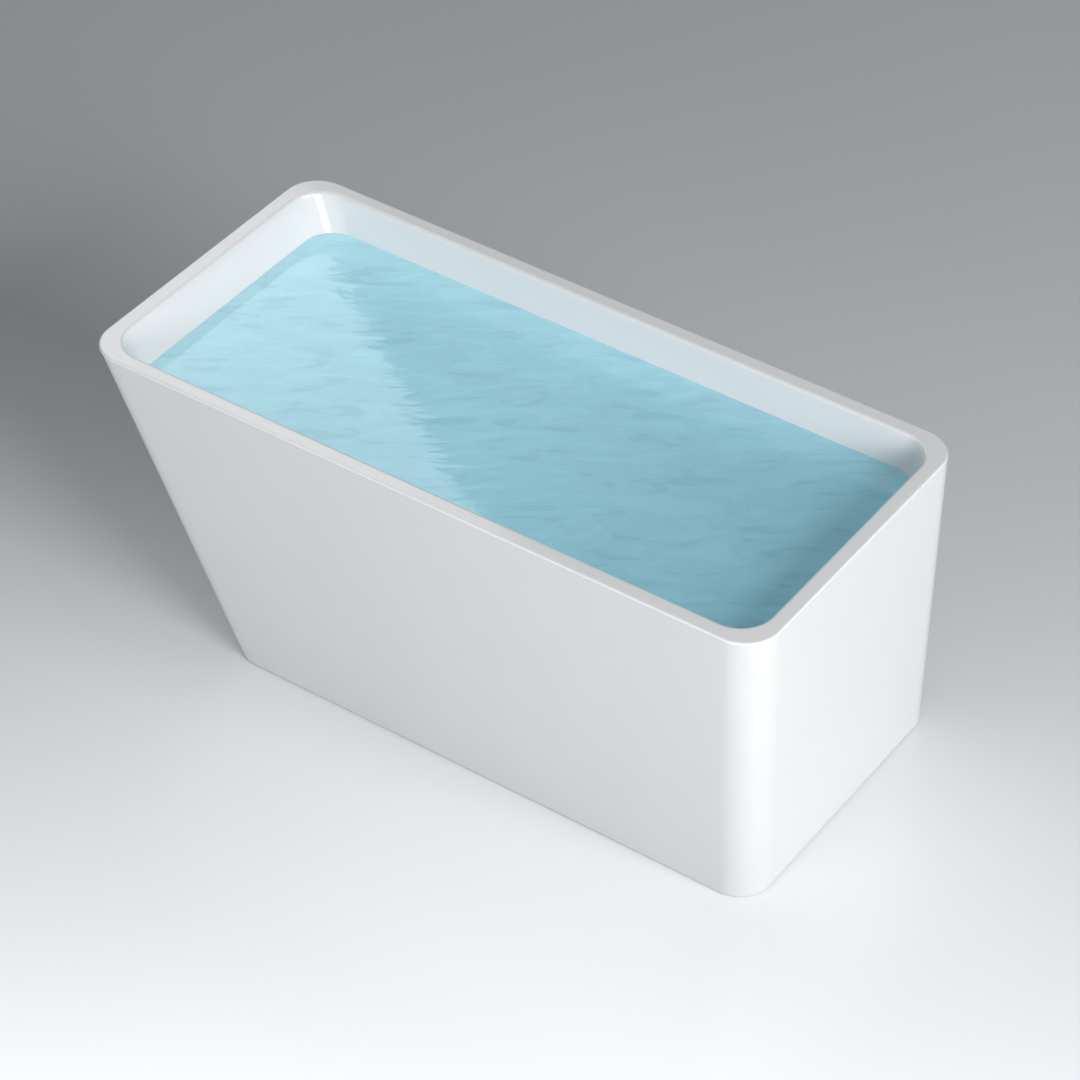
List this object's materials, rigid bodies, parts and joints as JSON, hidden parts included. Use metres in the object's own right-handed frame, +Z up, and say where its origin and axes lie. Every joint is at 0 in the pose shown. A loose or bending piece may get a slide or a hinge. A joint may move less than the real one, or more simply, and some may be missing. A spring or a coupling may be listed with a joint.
{
  "type": "freestanding bathtub",
  "caption": "Freestanding rectangular bathtub with double walls, a flat rim, a sloping backrest end, a pop-up waste, an overflow and levelling feet.",
  "frame": {"origin": "middle of the base, on the floor under the pads", "axes": "+X along the tub towards the drain end, +Y towards the back long side, +Z up; the sloping backrest end is at -X"},
  "size_m": [1.5, 0.7, 0.64],
  "materials": {
    "acrylic": "gloss white cast acrylic",
    "glass_fibre": "raw glass-fibre laminate, matte",
    "timber": "unpainted board and timber",
    "frame_steel": "grey powder-coated steel",
    "zinc_steel": "zinc-plated steel",
    "chrome": "polished chrome",
    "rubber": "black sealing rubber",
    "black_plastic": "black moulded nylon",
    "white_plastic": "white moulded plastic",
    "adhesive": "cured white adhesive"
  },
  "bodies": {
    "tub": {"basin_shell": "acrylic", "basin_glass_layer": "glass_fibre", "skirt_shell": "acrylic", "skirt_glass_layer": "glass_fibre", "rim_adhesive": "adhesive", "base_board": "timber", "rail_front": "frame_steel", "rail_back": "frame_steel", "cross_tube_head": "frame_steel", "cross_tube_middle": "frame_steel", "cross_tube_drain": "frame_steel", "rail_end_caps": "black_plastic", "board_screws": "zinc_steel", "foot_weld_nuts": "frame_steel", "foot_lock_nuts": "zinc_steel", "bracket_head_front": "zinc_steel", "bracket_head_back": "zinc_steel", "bracket_drain_front": "zinc_steel", "bracket_drain_back": "zinc_steel", "block_head_front": "timber", "block_head_back": "timber", "block_drain_front": "timber", "block_drain_back": "timber", "bracket_bolts": "zinc_steel", "block_screws": "zinc_steel", "waste_flange": "chrome", "waste_top_seal": "rubber", "waste_bottom_seal": "rubber", "waste_back_nut": "black_plastic", "waste_body": "white_plastic", "tail_seal": "rubber", "tail_nut": "white_plastic", "tailpiece": "white_plastic", "stopper_spring": "zinc_steel", "overflow_cover": "chrome", "overflow_ring_nut": "white_plastic", "overflow_seal": "rubber", "overflow_body": "white_plastic", "overflow_pipe": "white_plastic", "overflow_elbow": "white_plastic", "overflow_top_nut": "white_plastic", "overflow_bottom_nut": "white_plastic"},
    "stopper": {"stopper_cap": "chrome", "stopper_seal": "rubber", "stopper_stem": "zinc_steel", "stopper_stem_nut": "zinc_steel"},
    "pad_head_front": {"foot_pad_head_front": "black_plastic"},
    "stud_head_front": {"foot_stud_head_front": "zinc_steel"},
    "pad_head_back": {"foot_pad_head_back": "black_plastic"},
    "stud_head_back": {"foot_stud_head_back": "zinc_steel"},
    "pad_centre": {"foot_pad_centre": "black_plastic"},
    "stud_centre": {"foot_stud_centre": "zinc_steel"},
    "pad_drain_front": {"foot_pad_drain_front": "black_plastic"},
    "stud_drain_front": {"foot_stud_drain_front": "zinc_steel"},
    "pad_drain_back": {"foot_pad_drain_back": "black_plastic"},
    "stud_drain_back": {"foot_stud_drain_back": "zinc_steel"}
  },
  "joints": [
    {"name": "stopper_lift", "type": "slide", "parent": "tub", "child": "stopper", "axis": [0, 0, 1], "range_m": [0, 0.008], "deforming": ["stopper_spring"]},
    {"name": "height_head_front", "type": "slide", "parent": "tub", "child": "pad_head_front", "axis": [0, 0, 1], "range_m": [-0.0115, 0.0027]},
    {"name": "turn_head_front", "type": "hinge", "parent": "pad_head_front", "child": "stud_head_front", "pos_m": [-0.36, -0.15, 0.05], "axis": [0, 0, 1], "range_deg": [-2380, 560]},
    {"name": "height_head_back", "type": "slide", "parent": "tub", "child": "pad_head_back", "axis": [0, 0, 1], "range_m": [-0.0115, 0.0027]},
    {"name": "turn_head_back", "type": "hinge", "parent": "pad_head_back", "child": "stud_head_back", "pos_m": [-0.36, 0.15, 0.05], "axis": [0, 0, 1], "range_deg": [-2380, 560]},
    {"name": "height_centre", "type": "slide", "parent": "tub", "child": "pad_centre", "axis": [0, 0, 1], "range_m": [-0.0115, 0.0027]},
    {"name": "turn_centre", "type": "hinge", "parent": "pad_centre", "child": "stud_centre", "pos_m": [0.12, 0, 0.05], "axis": [0, 0, 1], "range_deg": [-2380, 560]},
    {"name": "height_drain_front", "type": "slide", "parent": "tub", "child": "pad_drain_front", "axis": [0, 0, 1], "range_m": [-0.0115, 0.0027]},
    {"name": "turn_drain_front", "type": "hinge", "parent": "pad_drain_front", "child": "stud_drain_front", "pos_m": [0.58, -0.15, 0.05], "axis": [0, 0, 1], "range_deg": [-2380, 560]},
    {"name": "height_drain_back", "type": "slide", "parent": "tub", "child": "pad_drain_back", "axis": [0, 0, 1], "range_m": [-0.0115, 0.0027]},
    {"name": "turn_drain_back", "type": "hinge", "parent": "pad_drain_back", "child": "stud_drain_back", "pos_m": [0.58, 0.15, 0.05], "axis": [0, 0, 1], "range_deg": [-2380, 560]}
  ],
  "couplings": [
    {"joint": "turn_head_front", "follows": "height_head_front", "rad_per_m": 3590.4},
    {"joint": "turn_head_back", "follows": "height_head_back", "rad_per_m": 3590.4},
    {"joint": "turn_centre", "follows": "height_centre", "rad_per_m": 3590.4},
    {"joint": "turn_drain_front", "follows": "height_drain_front", "rad_per_m": 3590.4},
    {"joint": "turn_drain_back", "follows": "height_drain_back", "rad_per_m": 3590.4}
  ]
}
